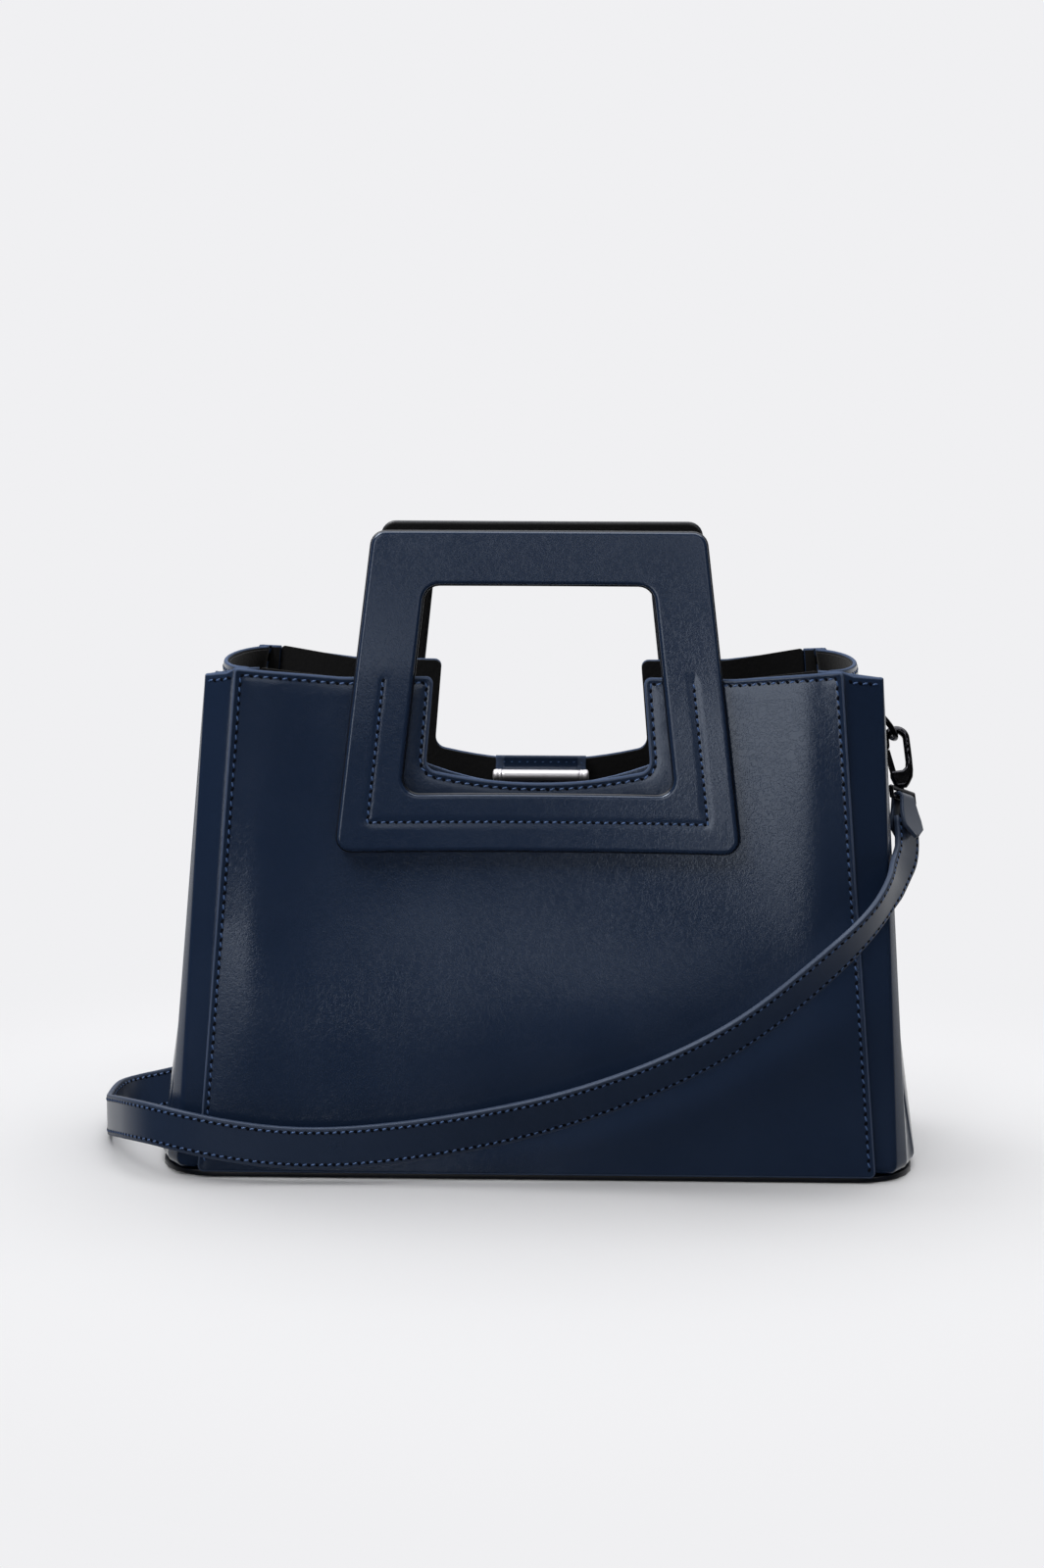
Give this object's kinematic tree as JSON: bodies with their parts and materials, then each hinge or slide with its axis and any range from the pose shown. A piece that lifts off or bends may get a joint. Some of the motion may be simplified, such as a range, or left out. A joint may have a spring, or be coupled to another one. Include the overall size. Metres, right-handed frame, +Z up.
{
  "type": "top handle bag",
  "caption": "Structured leather bag with cut-out frame handles, winged gussets, a closing tab with a metal bar, and a flat shoulder strap on lobster clasps.",
  "frame": {"origin": "middle of the base, on the floor", "axes": "+X to the bag's right as the picture shows it, -Y the front, +Z up"},
  "size_m": [0.3569, 0.2389, 0.2723],
  "materials": {
    "navy_leather": "smooth semi-gloss navy leather with fine creases",
    "black_suede": "black suede lining",
    "board": "stiff fibreboard inside the leather",
    "silver_metal": "bright nickel",
    "gunmetal": "polished dark gunmetal plating",
    "spring_steel": "spring steel"
  },
  "bodies": {
    "bag": {"back_handle_core": "board", "back_handle_facing": "navy_leather", "back_handle_lining": "black_suede", "back_lining": "black_suede", "back_panel": "navy_leather", "base_board": "board", "base_panel": "navy_leather", "front_handle_core": "board", "front_handle_facing": "navy_leather", "front_handle_lining": "black_suede", "front_lining": "black_suede", "front_panel": "navy_leather", "left_gusset": "navy_leather", "left_gusset_lining": "black_suede", "left_ring_tab": "navy_leather", "left_tab_rivet": "silver_metal", "notch_facing": "navy_leather", "right_gusset": "navy_leather", "right_gusset_lining": "black_suede", "right_ring_tab": "navy_leather", "right_tab_rivet": "silver_metal", "strap_back_run": "navy_leather", "strap_front_run": "navy_leather"},
    "closure": {"closure_tab": "navy_leather", "closure_bar": "silver_metal", "closure_caps": "silver_metal"},
    "left_clasp_set": {"left_dring": "gunmetal", "left_swivel_eye": "gunmetal", "left_strap_end": "navy_leather"},
    "left_hook": {"left_hook": "gunmetal", "left_gate_pin": "gunmetal"},
    "left_gate": {"left_gate": "gunmetal", "left_gate_spring": "spring_steel"},
    "right_clasp_set": {"right_dring": "gunmetal", "right_swivel_eye": "gunmetal", "right_strap_end": "navy_leather"},
    "right_hook": {"right_hook": "gunmetal", "right_gate_pin": "gunmetal"},
    "right_gate": {"right_gate": "gunmetal", "right_gate_spring": "spring_steel"}
  },
  "joints": [
    {"name": "closure_lift", "type": "hinge", "parent": "bag", "child": "closure", "pos_m": [0, 0.03435, 0.1664], "axis": [-1, 0, 0], "range_deg": [0, 95]},
    {"name": "right_ring_swing", "type": "hinge", "parent": "bag", "child": "right_clasp_set", "pos_m": [0.14183, -0.00338, 0.19463], "axis": [-0.0559, -0.9063, 0.4189], "range_deg": [-4, 25], "deforming": ["strap_front_run"]},
    {"name": "left_ring_swing", "type": "hinge", "parent": "bag", "child": "left_clasp_set", "pos_m": [-0.14144, 0.00671, 0.1975], "axis": [0.1109, 0.5446, 0.8313], "range_deg": [0, 25], "deforming": ["strap_back_run"]},
    {"name": "right_swivel", "type": "hinge", "parent": "right_clasp_set", "child": "right_hook", "pos_m": [0.15443, -0.01864, 0.16331], "axis": [-0.0921, 0.4225, 0.9017], "range_deg": [-12, 12]},
    {"name": "left_swivel", "type": "hinge", "parent": "left_clasp_set", "child": "left_hook", "pos_m": [-0.14625, 0.03918, 0.17687], "axis": [0.1564, -0.8356, 0.5266], "range_deg": [-12, 12]},
    {"name": "right_gate_open", "type": "hinge", "parent": "right_hook", "child": "right_gate", "pos_m": [0.15131, -0.01616, 0.16826], "axis": [0.0559, 0.9063, -0.4189], "range_deg": [0, 26], "stiffness_Nm_per_rad": 0.004, "springref_deg": -11.46},
    {"name": "left_gate_open", "type": "hinge", "parent": "left_hook", "child": "left_gate", "pos_m": [-0.14279, 0.03452, 0.17946], "axis": [-0.1109, -0.5446, -0.8313], "range_deg": [0, 26], "stiffness_Nm_per_rad": 0.004, "springref_deg": -11.46}
  ]
}
